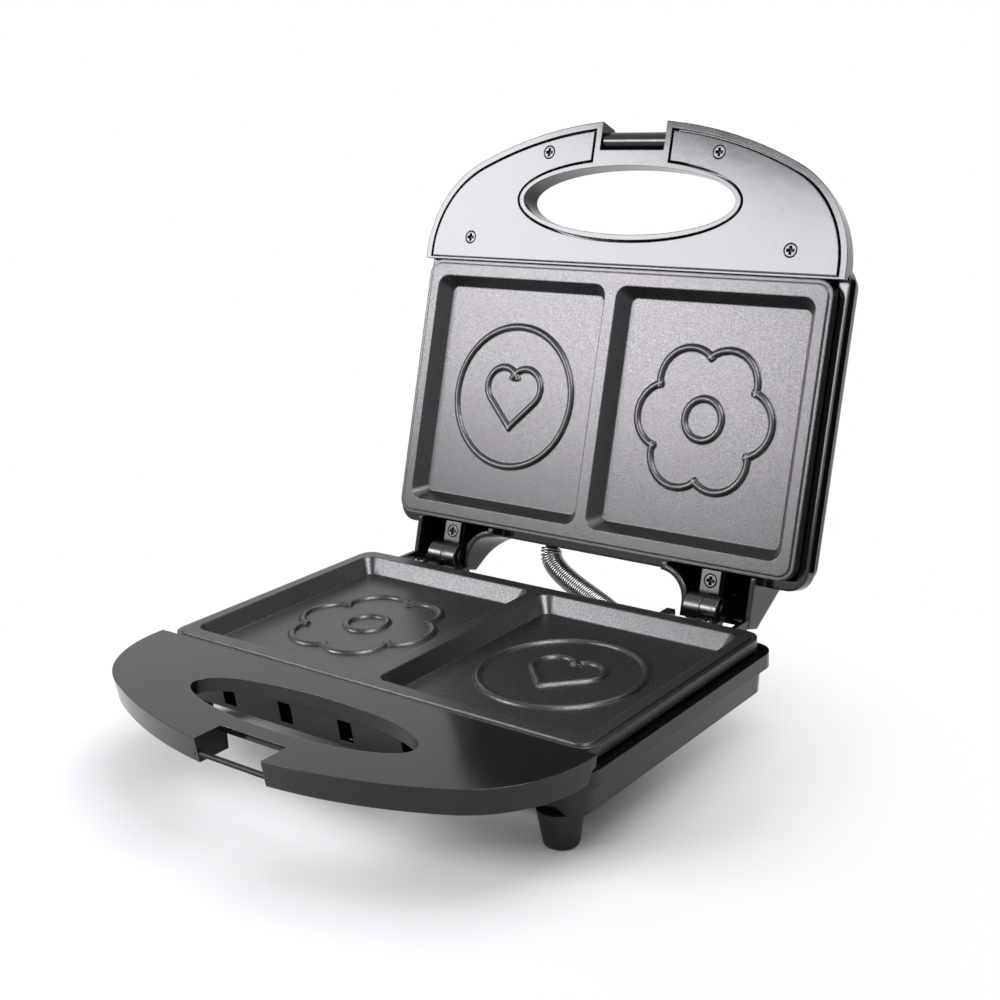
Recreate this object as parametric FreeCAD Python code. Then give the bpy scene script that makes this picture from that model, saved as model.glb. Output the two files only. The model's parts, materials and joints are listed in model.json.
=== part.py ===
import FreeCAD
import Part
import math
import os

V = FreeCAD.Vector

# Driving dimensions, in millimetres and degrees.
# The machine is drawn closed: X runs to the right, Y to the rear, Z up from the parting plane
# between the two plates, with the middle of the plates over the origin. The lid is then opened
# about the hinge, and the whole is lifted onto its feet and set with the middle of its length over
# the origin.

# Whole machine
PARTING_H = 38.5  # parting plane above the table
RIM_GAP = 0.2  # rim of each plate to the parting plane
OPEN_ANGLE = 106.8  # lid at its stop
WALL = 2.5  # moulded shells
SEAT_GAP = 0.1  # round pieces laid against a flat seat
SLIDE_GAP = 0.4  # loose fit between neighbouring pieces

# Cooking plates
PLATE_W = 212.0
PLATE_D = 124.0
PLATE_R = 7.0
PLATE_SKIRT = 5.5
PLATE_T = 2.6
EDGE_STEP_W = 1.8
EDGE_STEP_H = 0.7
RIM_SIDE = 6.5
RIM_END = 7.5
DIVIDER_W = 6.0
POCKET_DEPTH = 7.0
POCKET_R = 5.5
POCKET_SLOPE = 4.3
PLATE_BOSS_IN_X = 55.0
PLATE_BOSS_IN_Y = 32.0
PLATE_BOSS_R = 4.5
BEAD_W = 3.2
BEAD_H = 1.3
MOTIF_R = 33.0
PETALS = 6
PETAL_DEPTH = 7.0
FLOWER_EYE_R = 9.0
HEART_LOBE_R = 9.0

# Heating elements, straps and reflectors
ELEMENT_R = 3.25
ELEMENT_SIDE = 31.0
ELEMENT_FRONT = 22.0
FRONT_STRAP_IN = 21.0
ELEMENT_REAR = 18.0
ELEMENT_BEND = 14.0
ELEMENT_PIN_R = 1.2
ELEMENT_PIN_L = 8.0
STRAP_T = 1.0
STRAP_W = 9.0
STRAP_BOSS_R = 3.0
STRAP_STUB_R = 1.4
STRAP_ROOM = 0.4
REFLECTOR_T = 0.8
REFLECTOR_INSET = 8.0
REFLECTOR_R = 6.0
REFLECTOR_LIP = 5.0

# Housings
FLANGE_OUT = 4.0
FLANGE_DROP = 6.8
FLANGE_H = 6.2
FLANGE_R = 9.0
BODY_IN = 2.5
BODY_DRAFT = 1.5
BODY_R = 9.0
BODY_FRONT = 8.0
BASE_POST_H = 2.8
LID_POST_H = 5.8
LID_CROWN_R = 5.0
VENT_W = 7.0
VENT_H = 9.0
VENT_STEP = 32.0
VENTS = 5

# Grips
GRIP_REACH = 66.2
GRIP_CORNER_R = 48.0
GRIP_SHOULDER = 4.0
GRIP_DRAFT = 1.5
BASE_GRIP_DROP = 0.7
BASE_GRIP_H = 10.0
LID_GRIP_RISE = 0.9
LID_GRIP_H = 11.0
LID_GRIP_EDGE_R = 2.0
EDGE_STEPS = 3
LID_GRIP_RIM = 2.8
HOLE_A = 55.7
HOLE_B = 15.4
HOLE_AT = 30.5
HOLE_LIP = 2.0
HOLE_LIP_H = 5.5
COLLAR_T = 2.4
NOTCH_W = 33.4
NOTCH_AT = 52.8
NOTCH_WALL = 3.0
COVER_T = 2.4
COVER_GAP = 1.1
CROSS_RIB_T = 1.0
COVER_SCREW_SIDE_IN = 21.8
COVER_SCREW_SIDE_Y = 11.3
COVER_SCREW_TOP_IN = 61.5
COVER_SCREW_TOP_Y = 51.8

# Screws
SCREW_R = 1.5
SCREW_HEAD_R = 2.7
SCREW_HEAD_H = 1.8
SCREW_GAP = 0.1
SCREW_BITE = 6.0
SCREW_BOSS_R = 4.0
CROSS_W = 1.2
CROSS_L = 3.6
CROSS_DEEP = 1.0

# Catch bar and latch
BAR_R = 1.1
BAR_BACK = 3.0
BAR_DROP = 7.5
LATCH_PIN_R = 1.5
LATCH_BARREL_R = 4.2
LATCH_PIN_BACK = 8.8
LATCH_PIN_RISE = 6.0
LATCH_ARM_W = 24.0
LATCH_ARM_T = 2.6
LATCH_HOOK_T = 2.2
LATCH_HOOK_PAST = 1.6
LATCH_NECK = 5.2
LATCH_SHOULDER = 6.7
LATCH_SLACK = 0.7
LATCH_SWING = 156.0
PIN_FIT = 0.04
PIN_SOCKET = 2.0

# Hinges
HINGE_BACK = 16.45
HINGE_DROP = 1.9
HINGE_PIN_R = 2.0
HINGE_HEAD_R = 3.6
HINGE_HEAD_T = 1.1
EYE_R = 5.8
LID_EYE_IN = 43.5
LID_EYE_W = 7.5
BASE_EYE_W = 7.7
LEAF_GAP = 0.3
LEAF_T = 2.7
LID_LEAF_RISE = 1.0
LID_LEAF_IN = 3.0
LID_LEAF_OUT = 4.7
LID_LEAF_L = 16.0
BASE_LEAF_DROP = 1.8
BASE_LEAF_OUT = 2.6
BASE_LEAF_L = 14.3
LEAF_SCREW_BACK = 11.4

# Rear lugs of the lid and the stops on the base
LUG_ROOT_IN = 60.0
LUG_FACE_IN = 47.7
LUG_OUT_IN = 15.0
LUG_CHEEK = 2.0
LUG_END = 5.3
LUG_END_H = 8.0
LUG_ROOF = 6.0
LUG_SLOPE = 45.0
LEDGE_DROP = 5.1
LEDGE_REACH = 4.2
GUARD_W = 4.0
GUARD_DROP = 1.6
STOP_GAP = 0.3
STOP_DROP = 1.0

# Feet
FOOT_TOP_R = 8.7
FOOT_R = 6.6
FOOT_EDGE = 1.6
FOOT_IN = 12.0
FOOT_OUT = 0.5
FOOT_STEM_R = 3.0
FOOT_STEM_L = 1.5
REAR_FOOT_IN = 32.0

# Wire guard, its bushes and the cord gland
GUARD_WIRE_R = 0.65
GUARD_COIL_R = 4.5
GUARD_PITCH = 2.5
LEAD_R = 3.0
GUARD_LID_X = -23.0
GUARD_LID_RISE = 15.2
GUARD_BASE_X = 30.0
GUARD_BASE_DROP = 17.0
BUSH_R = 5.8
BUSH_T = 2.2
BUSH_STEM_R = 4.5
GLAND_X = -42.0
GLAND_DROP = 17.0
GLAND_BORE_R = 3.4

# Electrical pieces
THERMOSTAT_X = 25.0
THERMOSTAT_R = 8.0
THERMOSTAT_H = 4.6
THERMOSTAT_CAP_R = 6.0
THERMOSTAT_CAP_H = 2.6
BLADE_L = 7.0
BLADE_W = 6.0
BLADE_T = 0.8
FUSE_X = -25.0
FUSE_R = 2.2
FUSE_L = 14.0
FUSE_LEAD_R = 0.5
FUSE_LEAD_L = 7.0
BLOCK_X = -20.0
BLOCK_L = 30.0
BLOCK_W = 6.0
BLOCK_H = 9.0
BLOCK_WAYS = 3
BLOCK_HOLE_R = 1.3
LAMP_X = 13.0
LAMP_BACK = 16.0
LAMP_R = 4.5
LAMP_STEM_R = 3.5
LAMP_DOME = 1.4
BULB_R = 2.4
BULB_L = 3.4

# Worked out from the driving dimensions
HALF_W = PLATE_W / 2 + FLANGE_OUT
FRONT = -PLATE_D / 2
REAR = PLATE_D / 2
PLATE_BOSS_X = PLATE_W / 2 - PLATE_BOSS_IN_X
PLATE_BOSS_Y = PLATE_D / 2 - PLATE_BOSS_IN_Y
FRONT_STRAP_X = PLATE_BOSS_X - FRONT_STRAP_IN
COVER_SCREW_SIDE_X = PLATE_W / 2 - COVER_SCREW_SIDE_IN
COVER_SCREW_TOP_X = PLATE_W / 2 - COVER_SCREW_TOP_IN
LID_EYE_X = PLATE_W / 2 - LID_EYE_IN
LUG_ROOT_X = PLATE_W / 2 - LUG_ROOT_IN
LUG_IN_X = PLATE_W / 2 - LUG_FACE_IN
LUG_OUT_X = PLATE_W / 2 - LUG_OUT_IN
FOOT_X = PLATE_W / 2 - FOOT_IN
REAR_FOOT_X = PLATE_W / 2 - REAR_FOOT_IN
FOOT_Y = PLATE_D / 2 + FOOT_OUT
FLOOR_TOP = RIM_GAP + POCKET_DEPTH
FLOOR_UNDER = FLOOR_TOP + PLATE_T
ELEMENT_MID = FLOOR_UNDER + SEAT_GAP + ELEMENT_R
STRAP_TOP = ELEMENT_MID + ELEMENT_R + SEAT_GAP
REFLECTOR_TOP = STRAP_TOP + STRAP_T + STRAP_ROOM
REFLECTOR_UNDER = REFLECTOR_TOP + REFLECTOR_T
BASE_INNER = REFLECTOR_UNDER + BASE_POST_H
BASE_DEPTH = BASE_INNER + WALL
LID_INNER = REFLECTOR_UNDER + LID_POST_H
LID_DEPTH = LID_INNER + WALL
FLANGE_END = FLANGE_DROP + FLANGE_H
BODY_FRONT_Y = FRONT - BODY_FRONT
BODY_REAR_Y = REAR + FLANGE_OUT - BODY_IN
INNER_REAR_Y = BODY_REAR_Y - WALL
DECK_Y = FRONT - SLIDE_GAP
GRIP_FRONT = FRONT - GRIP_REACH
HOLE_Y = FRONT - HOLE_AT
NOTCH_Y = FRONT - NOTCH_AT
BAR_Y = GRIP_FRONT + BAR_BACK
LATCH_Y = GRIP_FRONT + LATCH_PIN_BACK
HINGE_Y = REAR + HINGE_BACK
HINGE_Z = -HINGE_DROP
BASE_EYE_X = LID_EYE_X + LID_EYE_W + LEAF_GAP
BASE_EYE_END = BASE_EYE_X + BASE_EYE_W
LID_LEAF_X0 = LID_EYE_X + LID_LEAF_IN
LID_LEAF_X1 = LID_EYE_X + LID_EYE_W + LID_LEAF_OUT
BASE_LEAF_X1 = BASE_EYE_END + BASE_LEAF_OUT
LID_SCREW_X = (LID_LEAF_X0 + LID_LEAF_X1) / 2
BASE_SCREW_X = LID_LEAF_X1 + SCREW_HEAD_R + SLIDE_GAP - SCREW_GAP
LEAF_SCREW_Y = HINGE_Y - LEAF_SCREW_BACK
BEAD_R = (BEAD_W * BEAD_W / 4 + BEAD_H * BEAD_H) / (2 * BEAD_H)
BEAD_Z = -FLOOR_TOP + BEAD_H - BEAD_R
GUARD_LEAD_IN = 2 * GUARD_WIRE_R + GUARD_PITCH
REACH_PAST = 1.0  # cutters run this far past the face that they open


def box(x0, x1, y0, y1, z0, z1):
    return Part.makeBox(x1 - x0, y1 - y0, z1 - z0, V(x0, y0, z0))


def post(radius, x, y, z0, z1):
    return Part.makeCylinder(radius, z1 - z0, V(x, y, z0), V(0, 0, 1))


def rod_x(radius, x0, x1, y, z):
    return Part.makeCylinder(radius, x1 - x0, V(x0, y, z), V(1, 0, 0))


def rod_y(radius, x, y0, y1, z):
    return Part.makeCylinder(radius, y1 - y0, V(x, y0, z), V(0, 1, 0))


def round_rect(x0, x1, y0, y1, r, z):
    """Closed wire of a rectangle with rounded corners."""
    c = r * (1 - math.sqrt(0.5))
    ends = [V(x0 + r, y0, z), V(x1 - r, y0, z), V(x1, y0 + r, z), V(x1, y1 - r, z)]
    ends += [V(x1 - r, y1, z), V(x0 + r, y1, z), V(x0, y1 - r, z), V(x0, y0 + r, z)]
    mids = [V(x1 - c, y0 + c, z), V(x1 - c, y1 - c, z), V(x0 + c, y1 - c, z), V(x0 + c, y0 + c, z)]
    edges = []
    for i in range(4):
        start, stop, after = ends[2 * i], ends[2 * i + 1], ends[(2 * i + 2) % 8]
        edges.append(Part.LineSegment(start, stop).toShape())
        edges.append(Part.Arc(stop, mids[i], after).toShape())
    return Part.Wire(edges)


def prism(wire, height):
    return Part.Face(wire).extrude(V(0, 0, height))


def taper(lower, upper):
    return Part.makeLoft([lower, upper], True, True)


def polygon_x(points, x0, x1):
    """Prism along X of a (y, z) outline."""
    wire = Part.makePolygon([V(x0, y, z) for y, z in points + points[:1]])
    return Part.Face(wire).extrude(V(x1 - x0, 0, 0))


def oval(a, b, z0, z1):
    edge = Part.Ellipse(V(0, HOLE_Y, z0), a, b).toShape()
    return prism(Part.Wire(edge), z1 - z0)


def left_of(shape):
    return shape.mirror(V(0, 0, 0), V(1, 0, 0))


def both_sides(shapes):
    return shapes + [left_of(shape) for shape in shapes]


def flipped(shape):
    """The same piece for the lid: mirrored in the parting plane."""
    return shape.mirror(V(0, 0, 0), V(0, 0, 1))


def grip_outline(inset, z):
    """D outline of a grip: straight sides, round corners and a wide front arc."""
    half = HALF_W - inset
    corner_y = FRONT - GRIP_SHOULDER
    corner_x = HALF_W - GRIP_CORNER_R
    depth = corner_y - GRIP_FRONT
    arc_r = (corner_x**2 + depth**2 - GRIP_CORNER_R**2) / (2 * (depth - GRIP_CORNER_R))
    arc_y = GRIP_FRONT + arc_r
    turn = math.atan2(corner_x, arc_y - corner_y)
    r = GRIP_CORNER_R - inset
    bend = math.pi / 4 - turn / 2
    touch = V(corner_x + r * math.sin(turn), corner_y - r * math.cos(turn), z)
    middle = V(corner_x + r * math.cos(bend), corner_y - r * math.sin(bend), z)
    side = V(half, corner_y, z)
    back = V(half, DECK_Y, z)

    def other(p):
        return V(-p.x, p.y, p.z)

    edges = [
        Part.LineSegment(other(back), other(side)).toShape(),
        Part.Arc(other(side), other(middle), other(touch)).toShape(),
        Part.Arc(other(touch), V(0, GRIP_FRONT + inset, z), touch).toShape(),
        Part.Arc(touch, middle, side).toShape(),
        Part.LineSegment(side, back).toShape(),
        Part.LineSegment(back, other(back)).toShape(),
    ]
    return Part.Wire(edges)


def grip_block(inset_low, inset_high, z_low, z_high, y_back):
    """Solid with the outline of a grip, drawn in from one level to the other, cut off at the back."""
    solid = taper(grip_outline(inset_low, z_low), grip_outline(inset_high, z_high))
    return solid.common(box(-HALF_W, HALF_W, GRIP_FRONT, y_back, z_low, z_high))


# Screws: a shank, a pan or countersunk head and a cross recess


def cross_recess(z_top):
    arms = [box(-CROSS_L / 2, CROSS_L / 2, -CROSS_W / 2, CROSS_W / 2, z_top - CROSS_DEEP, z_top)]
    arms.append(box(-CROSS_W / 2, CROSS_W / 2, -CROSS_L / 2, CROSS_L / 2, z_top - CROSS_DEEP, z_top))
    return arms[0].fuse(arms[1])


def pan_screw(length):
    """Screw along Z: the underside of its head at zero, the shank below."""
    head = Part.makeCone(SCREW_HEAD_R, SCREW_HEAD_R - SCREW_HEAD_H / 2, SCREW_HEAD_H)
    return head.fuse(post(SCREW_R, 0, 0, -length, 0)).cut(cross_recess(SCREW_HEAD_H))


def flat_screw(length):
    """Screw along Z with a countersunk head flush at zero."""
    head = Part.makeCone(SCREW_R, SCREW_HEAD_R, SCREW_HEAD_H, V(0, 0, -SCREW_HEAD_H))
    return head.fuse(post(SCREW_R, 0, 0, -length, -SCREW_HEAD_H)).cut(cross_recess(0))


def flat_seat(length):
    """Cutter for a countersunk screw and its clearance hole."""
    r = SCREW_R + SCREW_GAP
    head_r = SCREW_HEAD_R + SLIDE_GAP
    head = Part.makeCone(r, head_r, SCREW_HEAD_H, V(0, 0, -SCREW_HEAD_H))
    return head.fuse(post(r, 0, 0, -length, -SCREW_HEAD_H))


def placed(shape, x, y, z, points_down=False):
    copy = shape.copy()
    if points_down:
        copy.rotate(V(0, 0, 0), V(1, 0, 0), 180)
    copy.translate(V(x, y, z))
    return copy


# Cooking plates: a rim, two sloped pockets and raised beads cast on the pocket floors


def bead_ring(x, y, radius):
    return Part.makeTorus(radius, BEAD_R, V(x, y, BEAD_Z))


def bead_along(edges):
    path = Part.Wire(edges)
    start = path.Edges[0].valueAt(path.Edges[0].FirstParameter)
    along = path.Edges[0].tangentAt(path.Edges[0].FirstParameter)
    section = Part.Wire(Part.Circle(start, along, BEAD_R).toShape())
    return path.makePipeShell([section], True, False)


def flower(x, y):
    """Ring of round petals about a small eye."""
    step = 2 * math.pi / PETALS
    chord_r = MOTIF_R - PETAL_DEPTH
    overrun = BEAD_R / MOTIF_R
    beads = [bead_ring(x, y, FLOWER_EYE_R)]
    for i in range(PETALS):
        mid = i * step
        low = mid - step / 2 - overrun
        high = mid + step / 2 + overrun
        a = V(x + chord_r * math.cos(low), y + chord_r * math.sin(low), BEAD_Z)
        b = V(x + MOTIF_R * math.cos(mid), y + MOTIF_R * math.sin(mid), BEAD_Z)
        c = V(x + chord_r * math.cos(high), y + chord_r * math.sin(high), BEAD_Z)
        beads.append(bead_along([Part.Arc(a, b, c).toShape()]))
    return beads


def heart_in_ring(x, y):
    """Heart of two round lobes with straight lower sides, inside a ring."""
    r = HEART_LOBE_R
    beads = [bead_ring(x, y, MOTIF_R)]
    lobe_y = y + r / 2
    slope = math.radians(45)
    for side in (-1, 1):
        centre_x = x + side * r * math.cos(slope)
        cleft = V(centre_x - side * r * math.cos(slope / 2), lobe_y + r * math.sin(slope / 2), BEAD_Z)
        top = V(centre_x + side * r * math.cos(1.5 * slope), lobe_y + r * math.sin(1.5 * slope), BEAD_Z)
        outer = V(centre_x + side * r * math.cos(slope), lobe_y - r * math.sin(slope), BEAD_Z)
        fall = outer.x - x if side > 0 else x - outer.x
        tip = V(x - side * BEAD_R / 2, outer.y - fall - BEAD_R / 2, BEAD_Z)
        lobe = Part.Arc(cleft, top, outer).toShape()
        beads.append(bead_along([lobe, Part.LineSegment(outer, tip).toShape()]))
    return beads


def pocket_wire(side, outset, slope, z):
    x0 = DIVIDER_W / 2 + slope - outset
    x1 = PLATE_W / 2 - RIM_SIDE - slope + outset
    y0 = FRONT + RIM_END + slope - outset
    y1 = REAR - RIM_END - slope + outset
    r = max(POCKET_R - slope / 2, POCKET_R / 2) + outset
    if side < 0:
        x0, x1 = -x1, -x0
    return round_rect(x0, x1, y0, y1, r, z)


def pocket(side, outset, z_floor):
    upper = pocket_wire(side, outset, 0, -RIM_GAP)
    lower = pocket_wire(side, outset, POCKET_SLOPE, -z_floor)
    return taper(lower, upper)


def strap_places():
    x = PLATE_W / 2 - ELEMENT_SIDE
    y = FRONT + ELEMENT_FRONT
    return [(-x, 0, 0), (x, 0, 180), (-FRONT_STRAP_X, y, 90), (FRONT_STRAP_X, y, 90)]


def turned(shape, x, y, angle):
    copy = shape.copy()
    copy.rotate(V(0, 0, 0), V(0, 0, 1), angle)
    copy.translate(V(x, y, 0))
    return copy


STRAP_BOSS_OFF = ELEMENT_R + STRAP_BOSS_R + SLIDE_GAP


def cooking_plate(left_motif, right_motif):
    """Lower plate; its mirror image in the parting plane is the upper one."""
    half_w, top = PLATE_W / 2, -RIM_GAP
    outer = round_rect(-half_w, half_w, FRONT, REAR, PLATE_R, top - PLATE_SKIRT)
    inset = half_w - PLATE_T
    core_r = PLATE_R - PLATE_T
    core = round_rect(-inset, inset, FRONT + PLATE_T, REAR - PLATE_T, core_r, top - PLATE_SKIRT)
    plate = prism(outer, PLATE_SKIRT).cut(prism(core, PLATE_SKIRT - PLATE_T))
    edge = half_w - EDGE_STEP_W
    step_r = PLATE_R - EDGE_STEP_W
    raised = round_rect(-edge, edge, FRONT + EDGE_STEP_W, REAR - EDGE_STEP_W, step_r, top - EDGE_STEP_H)
    low = round_rect(-half_w, half_w, FRONT, REAR, PLATE_R, top - EDGE_STEP_H)
    step = prism(low, EDGE_STEP_H).cut(prism(raised, EDGE_STEP_H))
    sides = (-1, 1)
    bosses = []
    for x in (-PLATE_BOSS_X, PLATE_BOSS_X):
        for y in (-PLATE_BOSS_Y, PLATE_BOSS_Y):
            boss = post(PLATE_BOSS_R, x, y, -REFLECTOR_TOP, -FLOOR_TOP - PLATE_T / 2)
            hole = post(SCREW_R + SCREW_GAP, x, y, -REFLECTOR_TOP, -REFLECTOR_TOP + SCREW_BITE + SLIDE_GAP)
            bosses.append(boss.cut(hole))
    stud = post(STRAP_BOSS_R, STRAP_BOSS_OFF, 0, -STRAP_TOP, -FLOOR_TOP - PLATE_T / 2)
    stud = stud.fuse(post(STRAP_STUB_R, STRAP_BOSS_OFF, 0, -STRAP_TOP - STRAP_T, -STRAP_TOP))
    studs = [turned(stud, x, y, angle) for x, y, angle in strap_places()]
    plate = plate.fuse([pocket(side, PLATE_T, FLOOR_UNDER) for side in sides] + bosses + studs)
    plate = plate.cut([step] + [pocket(side, 0, FLOOR_TOP) for side in sides])
    middle = (DIVIDER_W / 2 + PLATE_W / 2 - RIM_SIDE) / 2
    return plate.fuse(left_motif(-middle, 0) + right_motif(middle, 0)).removeSplitter()


def heating_element():
    """Tubular heater bent in a wide U, with a cold pin at each rear end."""
    x, z = PLATE_W / 2 - ELEMENT_SIDE, -ELEMENT_MID
    rear, front, r = REAR - ELEMENT_REAR, FRONT + ELEMENT_FRONT, ELEMENT_BEND
    c = r * (1 - math.sqrt(0.5))
    path = Part.Wire(
        [
            Part.LineSegment(V(-x, rear, z), V(-x, front + r, z)).toShape(),
            Part.Arc(V(-x, front + r, z), V(-x + c, front + c, z), V(-x + r, front, z)).toShape(),
            Part.LineSegment(V(-x + r, front, z), V(x - r, front, z)).toShape(),
            Part.Arc(V(x - r, front, z), V(x - c, front + c, z), V(x, front + r, z)).toShape(),
            Part.LineSegment(V(x, front + r, z), V(x, rear, z)).toShape(),
        ]
    )
    section = Part.Wire(Part.Circle(V(-x, rear, z), V(0, -1, 0), ELEMENT_R).toShape())
    tube = path.makePipeShell([section], True, False)
    pins = [rod_y(ELEMENT_PIN_R, side * x, rear, rear + ELEMENT_PIN_L, z) for side in (-1, 1)]
    return tube.fuse(pins)


def element_straps():
    """Flat straps on studs beside the heater."""
    far = STRAP_BOSS_OFF + STRAP_BOSS_R
    strap = box(-ELEMENT_R, far, -STRAP_W / 2, STRAP_W / 2, -STRAP_TOP - STRAP_T, -STRAP_TOP)
    hole_r = STRAP_STUB_R + SCREW_GAP / 2
    strap = strap.cut(post(hole_r, STRAP_BOSS_OFF, 0, -STRAP_TOP - STRAP_T, -STRAP_TOP))
    return Part.makeCompound([turned(strap, x, y, angle) for x, y, angle in strap_places()])


def reflector():
    """Thin tray under the heater with a turned-up lip."""
    x, y0, y1 = PLATE_W / 2 - REFLECTOR_INSET, FRONT + REFLECTOR_INSET, REAR - REFLECTOR_INSET
    outer = round_rect(-x, x, y0, y1, REFLECTOR_R, -REFLECTOR_UNDER)
    t = REFLECTOR_T
    inner = round_rect(-x + t, x - t, y0 + t, y1 - t, REFLECTOR_R - t, -REFLECTOR_TOP)
    tray = prism(outer, t + REFLECTOR_LIP).cut(prism(inner, REFLECTOR_LIP))
    holes = []
    for hole_x in (-PLATE_BOSS_X, PLATE_BOSS_X):
        for hole_y in (-PLATE_BOSS_Y, PLATE_BOSS_Y):
            holes.append(post(SCREW_R + SCREW_GAP, hole_x, hole_y, -REFLECTOR_UNDER, -REFLECTOR_TOP))
    return tray.cut(holes)


def plate_screws(head_depth):
    """Four screws that draw a plate down on its posts, head away from the plate."""
    screw = pan_screw(head_depth - REFLECTOR_TOP + SCREW_BITE)
    places = [(x, y) for x in (-PLATE_BOSS_X, PLATE_BOSS_X) for y in (-PLATE_BOSS_Y, PLATE_BOSS_Y)]
    return Part.makeCompound([placed(screw, x, y, -head_depth, True) for x, y in places])


# Base housing: one moulded shell with its grip, posts, hinge ledges and stops


def flange_band(z0):
    edge = round_rect(-HALF_W, HALF_W, BODY_FRONT_Y, REAR + FLANGE_OUT, FLANGE_R, z0)
    return prism(edge, FLANGE_H)


def body_wire(inset, z):
    x = HALF_W - BODY_IN - inset
    r = BODY_R - inset if inset < BODY_R else BODY_R / 2
    return round_rect(-x, x, BODY_FRONT_Y + inset, BODY_REAR_Y, r, z)


def ledge_blocks():
    """Seats of one base hinge bracket, the guard beside it and the stop for the lid's lug."""
    root, low = INNER_REAR_Y, -BASE_DEPTH
    back = HINGE_Y - LEDGE_REACH
    ledge_z = HINGE_Z - LEDGE_DROP
    x0 = LUG_IN_X - SLIDE_GAP - GUARD_W
    ledge = box(x0, LUG_OUT_X, root, back, low, ledge_z)
    guard = box(x0, x0 + GUARD_W, REAR + SLIDE_GAP, back, ledge_z, HINGE_Z - GUARD_DROP)
    seat_z = HINGE_Z - BASE_LEAF_DROP - LEAF_T
    seat = box(BASE_EYE_X, BASE_LEAF_X1, REAR + SLIDE_GAP, back, ledge_z - REACH_PAST, seat_z)
    lean = math.radians(OPEN_ANGLE - 90)
    face = (STOP_GAP + SLIDE_GAP) / math.cos(lean)
    top_z = -STOP_DROP
    knee_z = -LUG_END - SLIDE_GAP
    top_y = HINGE_Y - face + top_z * math.tan(lean)
    knee_y = HINGE_Y - face + knee_z * math.tan(lean)
    side = [(root, low), (knee_y, low), (knee_y, HINGE_Z + knee_z), (top_y, HINGE_Z + top_z)]
    side += [(REAR + SLIDE_GAP, HINGE_Z + top_z), (REAR + SLIDE_GAP, -FLANGE_DROP), (root, -FLANGE_DROP)]
    stop = polygon_x(side, LUG_OUT_X - LUG_CHEEK, LUG_OUT_X)
    return [ledge, guard, seat, stop]


def base_housing():
    top = -BASE_GRIP_DROP
    under = top - BASE_GRIP_H
    shell = flange_band(-FLANGE_END)
    shell = shell.fuse(taper(body_wire(BODY_DRAFT, -BASE_DEPTH), body_wire(0, -FLANGE_END)))
    grip = taper(grip_outline(GRIP_DRAFT, under), grip_outline(0, top))
    hollow = grip_block(WALL + GRIP_DRAFT, WALL, under - REACH_PAST, top - WALL, BODY_FRONT_Y)
    shell = shell.fuse(grip.cut(hollow))
    room = WALL + BODY_IN
    x = HALF_W - room
    cavity = round_rect(-x, x, BODY_FRONT_Y + WALL, INNER_REAR_Y, BODY_R - WALL, -BASE_INNER)
    shell = shell.cut(prism(cavity, BASE_INNER + top - WALL))
    mouth = box(-x, x, DECK_Y, REAR + SLIDE_GAP, -FLANGE_DROP - REACH_PAST, REACH_PAST)
    shell = shell.cut(mouth)
    lip = oval(HOLE_A + HOLE_LIP, HOLE_B + HOLE_LIP, top - HOLE_LIP_H, top)
    notch_w = NOTCH_W / 2
    notch_front = GRIP_FRONT - REACH_PAST
    cheek = box(notch_w, notch_w + NOTCH_WALL, notch_front, NOTCH_Y + WALL, under, top).common(grip)
    posts = []
    for px in (-PLATE_BOSS_X, PLATE_BOSS_X):
        for py in (-PLATE_BOSS_Y, PLATE_BOSS_Y):
            posts.append(post(PLATE_BOSS_R, px, py, -BASE_INNER - WALL / 2, -REFLECTOR_UNDER))
    shell = shell.fuse([lip] + posts + both_sides([cheek] + ledge_blocks()))
    cuts = [oval(HOLE_A, HOLE_B, under - REACH_PAST, top + REACH_PAST)]
    cuts.append(box(-notch_w, notch_w, notch_front, NOTCH_Y, under - REACH_PAST, top + REACH_PAST))
    bar_end = notch_w + PIN_SOCKET + PIN_FIT
    cuts.append(rod_x(BAR_R + PIN_FIT, -bar_end, bar_end, BAR_Y, -BAR_DROP))
    vent_low = -(FLANGE_END + BASE_INNER + VENT_H) / 2
    vent_y0 = BODY_FRONT_Y - REACH_PAST
    vent_y1 = BODY_FRONT_Y + WALL + REACH_PAST
    for i in range(VENTS):
        vx = (i - VENTS / 2 + 0.5) * VENT_STEP - VENT_W / 2
        cuts.append(box(vx, vx + VENT_W, vent_y0, vent_y1, vent_low, vent_low + VENT_H))
    head_z = -BASE_DEPTH + SCREW_HEAD_H + SLIDE_GAP
    for px in (-PLATE_BOSS_X, PLATE_BOSS_X):
        for py in (-PLATE_BOSS_Y, PLATE_BOSS_Y):
            cuts.append(post(SCREW_R + SCREW_GAP, px, py, -BASE_DEPTH, -REFLECTOR_UNDER))
            cuts.append(post(SCREW_HEAD_R + SLIDE_GAP, px, py, -BASE_DEPTH, head_z))
    for fx, fy in foot_places():
        cuts.append(post(FOOT_STEM_R + SCREW_GAP, fx, fy, -BASE_DEPTH, -BASE_DEPTH + FOOT_STEM_L + SCREW_GAP))
    cuts += bush_room(GUARD_BASE_X, -GUARD_BASE_DROP) + bush_room(GLAND_X, -GLAND_DROP)
    seat_z = HINGE_Z - BASE_LEAF_DROP - LEAF_T
    bore = post(SCREW_R + SCREW_GAP, BASE_SCREW_X, LEAF_SCREW_Y, seat_z - SCREW_BITE - SLIDE_GAP, seat_z)
    return shell.cut(cuts + both_sides([bore])).removeSplitter()


def catch_bar():
    end = NOTCH_W / 2 + PIN_SOCKET
    return rod_x(BAR_R, -end, end, BAR_Y, -BAR_DROP)


# Feet: tapered, pressed into the underside with a short stem


def foot_places():
    front = [(side * FOOT_X, -FOOT_Y) for side in (-1, 1)]
    return front + [(side * REAR_FOOT_X, FOOT_Y) for side in (-1, 1)]


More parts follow.
